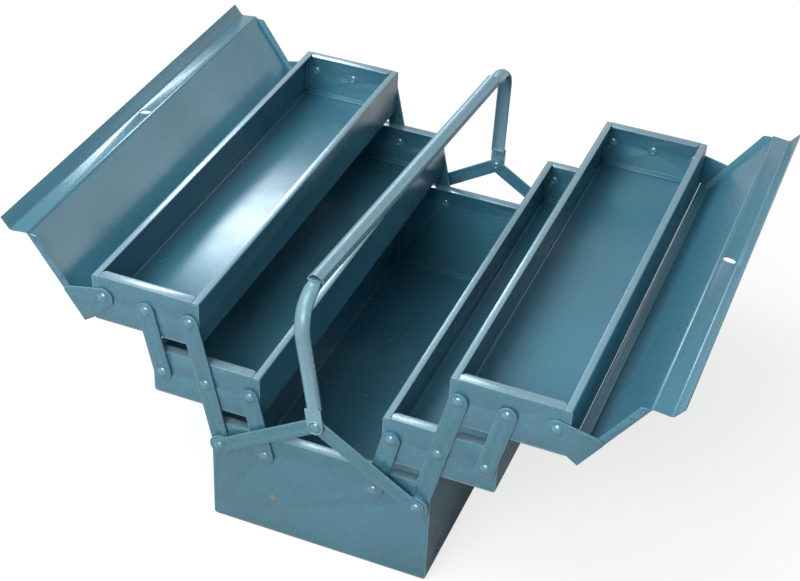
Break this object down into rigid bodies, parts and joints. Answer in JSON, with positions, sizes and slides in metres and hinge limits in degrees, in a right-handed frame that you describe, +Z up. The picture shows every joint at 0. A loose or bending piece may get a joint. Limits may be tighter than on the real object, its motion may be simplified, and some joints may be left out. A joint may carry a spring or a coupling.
{
  "type": "cantilever tool box",
  "caption": "Sheet-metal cantilever tool box, standing open: trays on riveted parallel arms swing out from a base box under hinged lids and a carrying handle.",
  "frame": {"origin": "on the ground, at the middle of the base box's bottom", "axes": "+X across the box, towards the right-hand trays; +Y along the box, away from the pictured front end; +Z up"},
  "size_m": [0.5824, 0.4542, 0.2662],
  "materials": {
    "base_paint": "semi-gloss blue-grey metallic enamel",
    "tray_paint": "semi-gloss blue-grey metallic enamel",
    "panel_paint": "semi-gloss blue-grey metallic enamel",
    "lid_paint": "semi-gloss blue-grey metallic enamel",
    "arm_paint": "semi-gloss blue-grey metallic enamel",
    "strut_paint": "semi-gloss blue-grey metallic enamel",
    "rivet_paint": "semi-gloss blue-grey metallic enamel",
    "handle_paint": "semi-gloss blue-grey metallic enamel"
  },
  "bodies": {
    "box_base": {"base_shell": "base_paint", "base_front_panel": "panel_paint", "base_rear_panel": "panel_paint", "base_pivot_rivets": "rivet_paint", "front_left_strut": "strut_paint", "front_right_strut": "strut_paint", "rear_left_strut": "strut_paint", "rear_right_strut": "strut_paint", "strut_spacers": "strut_paint", "handle_rivets": "rivet_paint"},
    "handle": {"handle_strap": "handle_paint", "handle_grip": "handle_paint"},
    "left_long_arms": {"left_front_long_arm": "arm_paint", "left_rear_long_arm": "arm_paint"},
    "left_lower_arms": {"left_front_lower_arm": "arm_paint", "left_rear_lower_arm": "arm_paint"},
    "left_upper_arms": {"left_front_upper_arm": "arm_paint", "left_rear_upper_arm": "arm_paint"},
    "left_mid_tray": {"left_mid_tray_shell": "tray_paint", "left_mid_tray_front_panel": "panel_paint", "left_mid_tray_rear_panel": "panel_paint", "left_mid_tray_rivets": "rivet_paint"},
    "left_top_tray": {"left_top_tray_shell": "tray_paint", "left_top_tray_front_panel": "panel_paint", "left_top_tray_rear_panel": "panel_paint", "left_top_tray_rivets": "rivet_paint", "left_lid_rivets": "rivet_paint"},
    "left_lid": {"left_lid_sheet": "lid_paint", "left_lid_front_cheek": "lid_paint", "left_lid_rear_cheek": "lid_paint"},
    "right_long_arms": {"right_front_long_arm": "arm_paint", "right_rear_long_arm": "arm_paint"},
    "right_lower_arms": {"right_front_lower_arm": "arm_paint", "right_rear_lower_arm": "arm_paint"},
    "right_upper_arms": {"right_front_upper_arm": "arm_paint", "right_rear_upper_arm": "arm_paint"},
    "right_mid_tray": {"right_mid_tray_shell": "tray_paint", "right_mid_tray_front_panel": "panel_paint", "right_mid_tray_rear_panel": "panel_paint", "right_mid_tray_rivets": "rivet_paint"},
    "right_top_tray": {"right_top_tray_shell": "tray_paint", "right_top_tray_front_panel": "panel_paint", "right_top_tray_rear_panel": "panel_paint", "right_top_tray_rivets": "rivet_paint", "right_lid_rivets": "rivet_paint"},
    "right_lid": {"right_lid_sheet": "lid_paint", "right_lid_front_cheek": "lid_paint", "right_lid_rear_cheek": "lid_paint"}
  },
  "joints": [
    {"name": "left_arms_swing", "type": "hinge", "parent": "box_base", "child": "left_long_arms", "pos_m": [-0.09034, 0, 0.086], "axis": [0, 1, 0], "range_deg": [0, 54.6]},
    {"name": "left_lower_arms_pivot", "type": "hinge", "parent": "box_base", "child": "left_lower_arms", "pos_m": [-0.04974, 0, 0.086], "axis": [0, 1, 0], "range_deg": [0, 54.6]},
    {"name": "left_mid_tray_pivot", "type": "hinge", "parent": "left_long_arms", "child": "left_mid_tray", "pos_m": [-0.10375, 0, 0.14551], "axis": [0, 1, 0], "range_deg": [-54.6, 0]},
    {"name": "left_top_tray_pivot", "type": "hinge", "parent": "left_long_arms", "child": "left_top_tray", "pos_m": [-0.11716, 0, 0.20502], "axis": [0, 1, 0], "range_deg": [-54.6, 0]},
    {"name": "left_upper_arms_pivot", "type": "hinge", "parent": "left_mid_tray", "child": "left_upper_arms", "pos_m": [-0.14435, 0, 0.14551], "axis": [0, 1, 0], "range_deg": [0, 54.6]},
    {"name": "left_lid_hinge", "type": "hinge", "parent": "left_top_tray", "child": "left_lid", "pos_m": [-0.1979, 0, 0.20552], "axis": [0, 1, 0], "range_deg": [0, 122.4]},
    {"name": "right_arms_swing", "type": "hinge", "parent": "box_base", "child": "right_long_arms", "pos_m": [0.09034, 0, 0.086], "axis": [0, -1, 0], "range_deg": [0, 54.6]},
    {"name": "right_lower_arms_pivot", "type": "hinge", "parent": "box_base", "child": "right_lower_arms", "pos_m": [0.04974, 0, 0.086], "axis": [0, -1, 0], "range_deg": [0, 54.6]},
    {"name": "right_mid_tray_pivot", "type": "hinge", "parent": "right_long_arms", "child": "right_mid_tray", "pos_m": [0.10375, 0, 0.14551], "axis": [0, -1, 0], "range_deg": [-54.6, 0]},
    {"name": "right_top_tray_pivot", "type": "hinge", "parent": "right_long_arms", "child": "right_top_tray", "pos_m": [0.11716, 0, 0.20502], "axis": [0, -1, 0], "range_deg": [-54.6, 0]},
    {"name": "right_upper_arms_pivot", "type": "hinge", "parent": "right_mid_tray", "child": "right_upper_arms", "pos_m": [0.14435, 0, 0.14551], "axis": [0, -1, 0], "range_deg": [0, 54.6]},
    {"name": "right_lid_hinge", "type": "hinge", "parent": "right_top_tray", "child": "right_lid", "pos_m": [0.1979, 0, 0.20552], "axis": [0, -1, 0], "range_deg": [0, 124.4]},
    {"name": "handle_swing", "type": "hinge", "parent": "box_base", "child": "handle", "pos_m": [0, 0, 0.142], "axis": [0, 1, 0], "range_deg": [-40, 40]}
  ],
  "couplings": [
    {"joint": "left_lower_arms_pivot", "follows": "left_arms_swing", "ratio": 1},
    {"joint": "left_mid_tray_pivot", "follows": "left_arms_swing", "ratio": -1},
    {"joint": "left_top_tray_pivot", "follows": "left_arms_swing", "ratio": -1},
    {"joint": "left_upper_arms_pivot", "follows": "left_arms_swing", "ratio": 1},
    {"joint": "right_lower_arms_pivot", "follows": "right_arms_swing", "ratio": 1},
    {"joint": "right_mid_tray_pivot", "follows": "right_arms_swing", "ratio": -1},
    {"joint": "right_top_tray_pivot", "follows": "right_arms_swing", "ratio": -1},
    {"joint": "right_upper_arms_pivot", "follows": "right_arms_swing", "ratio": 1}
  ]
}
